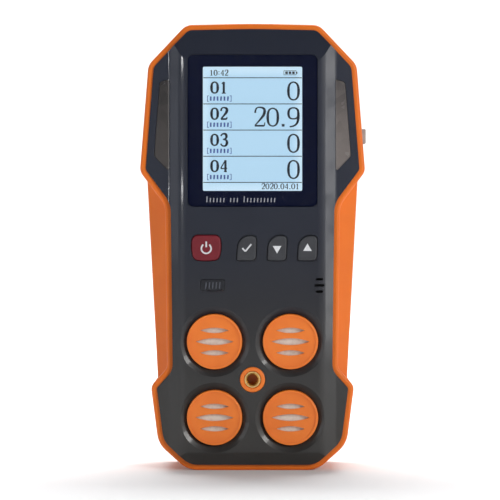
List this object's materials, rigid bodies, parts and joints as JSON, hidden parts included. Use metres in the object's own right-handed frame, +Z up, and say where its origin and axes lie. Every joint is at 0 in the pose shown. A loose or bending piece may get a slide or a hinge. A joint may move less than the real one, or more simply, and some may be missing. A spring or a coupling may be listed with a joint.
{
  "type": "portable gas detector",
  "caption": "Hand-held multi-gas detector in an orange bumper: colour display, keypad, slotted sensor caps round a threaded insert, alarm lenses, charging port and a sprung belt clip.",
  "frame": {"origin": "centre of the flat base the detector stands on, midway between its display face and its rear panel", "axes": "+Z up along the height of the detector, -Y out of the display, +X to the user's right when facing the display"},
  "size_m": [0.066, 0.0455, 0.1299],
  "materials": {
    "case_black": "fine spark texture",
    "bumper_orange": "smooth satin over-moulding",
    "cap_orange": "satin",
    "window_clear": "clear, polished",
    "mask_ink": "black printed border",
    "lcd": "backlit screen",
    "tray_white": "moulded",
    "flex_amber": "polyimide film",
    "key_red": "satin silicone",
    "key_grey": "satin silicone",
    "lens_smoke": "smoked, translucent",
    "badge_black": "polished",
    "brass": "machined",
    "filter_white": "porous membrane",
    "seal_black": "moulded",
    "plug_grey": "moulded",
    "steel": "plated",
    "board_green": "solder mask",
    "chip_black": "moulded",
    "connector_ivory": "moulded",
    "led_white": "moulded lens",
    "battery_wrap": "shrink sleeve",
    "lead_red": "insulated",
    "sensor_body": "moulded",
    "label_silver": "brushed foil"
  },
  "bodies": {
    "case": {"alarm_leds": "led_white", "alarm_lens_left": "lens_smoke", "alarm_lens_right": "lens_smoke", "badge": "badge_black", "battery_leads": "lead_red", "battery_pack": "battery_wrap", "battery_pad": "seal_black", "board_chips": "chip_black", "board_connectors": "connector_ivory", "board_link": "chip_black", "board_screws": "steel", "bumper": "bumper_orange", "buzzer": "chip_black", "buzzer_mesh": "filter_white", "calibration_insert": "brass", "cap_co": "cap_orange", "cap_h2s": "cap_orange", "cap_lel": "cap_orange", "cap_o2": "cap_orange", "case_gasket": "seal_black", "case_screws": "steel", "charge_port": "steel", "clip_base": "steel", "clip_pin": "steel", "clip_screws": "steel", "clip_spring": "steel", "display_window": "window_clear", "front_cover": "case_black", "insert_collar": "cap_orange", "key_switches": "chip_black", "keypad_mat": "key_grey", "lcd_flex": "flex_amber", "lcd_frame": "tray_white", "lcd_panel": "lcd", "main_board": "board_green", "nameplate": "label_silver", "rear_shell": "case_black", "sensor_board": "board_green", "sensor_board_screws": "steel", "sensor_co": "sensor_body", "sensor_filters": "filter_white", "sensor_gaskets": "seal_black", "sensor_h2s": "sensor_body", "sensor_lel": "sensor_body", "sensor_o2": "sensor_body", "sensor_sockets": "connector_ivory", "vibration_motor": "steel", "window_mask": "mask_ink"},
    "power_key": {"power_key": "key_red"},
    "ok_key": {"ok_key": "key_grey"},
    "down_key": {"down_key": "key_grey"},
    "up_key": {"up_key": "key_grey"},
    "clip": {"clip_lever": "steel"},
    "plug": {"dust_plug": "plug_grey"},
    "weight": {"motor_weight": "steel"}
  },
  "joints": [
    {"name": "power_key_press", "type": "slide", "parent": "case", "child": "power_key", "axis": [0, 1, 0], "range_m": [0, 0.0006], "stiffness_N_per_m": 1500, "springref_m": -0.0004},
    {"name": "ok_key_press", "type": "slide", "parent": "case", "child": "ok_key", "axis": [0, 1, 0], "range_m": [0, 0.0006], "stiffness_N_per_m": 1500, "springref_m": -0.0004},
    {"name": "down_key_press", "type": "slide", "parent": "case", "child": "down_key", "axis": [0, 1, 0], "range_m": [0, 0.0006], "stiffness_N_per_m": 1500, "springref_m": -0.0004},
    {"name": "up_key_press", "type": "slide", "parent": "case", "child": "up_key", "axis": [0, 1, 0], "range_m": [0, 0.0006], "stiffness_N_per_m": 1500, "springref_m": -0.0004},
    {"name": "clip_open", "type": "hinge", "parent": "case", "child": "clip", "pos_m": [0, 0.022, 0.092], "axis": [1, 0, 0], "range_deg": [0, 18], "stiffness_Nm_per_rad": 0.4, "springref_deg": -28.65, "deforming": ["clip_spring"]},
    {"name": "plug_pull", "type": "slide", "parent": "case", "child": "plug", "axis": [1, 0, 0], "range_m": [0, 0.006]},
    {"name": "weight_spin", "type": "hinge", "parent": "case", "child": "weight", "pos_m": [-0.002, -0.0046, 0.0566], "axis": [1, 0, 0], "continuous": true}
  ]
}
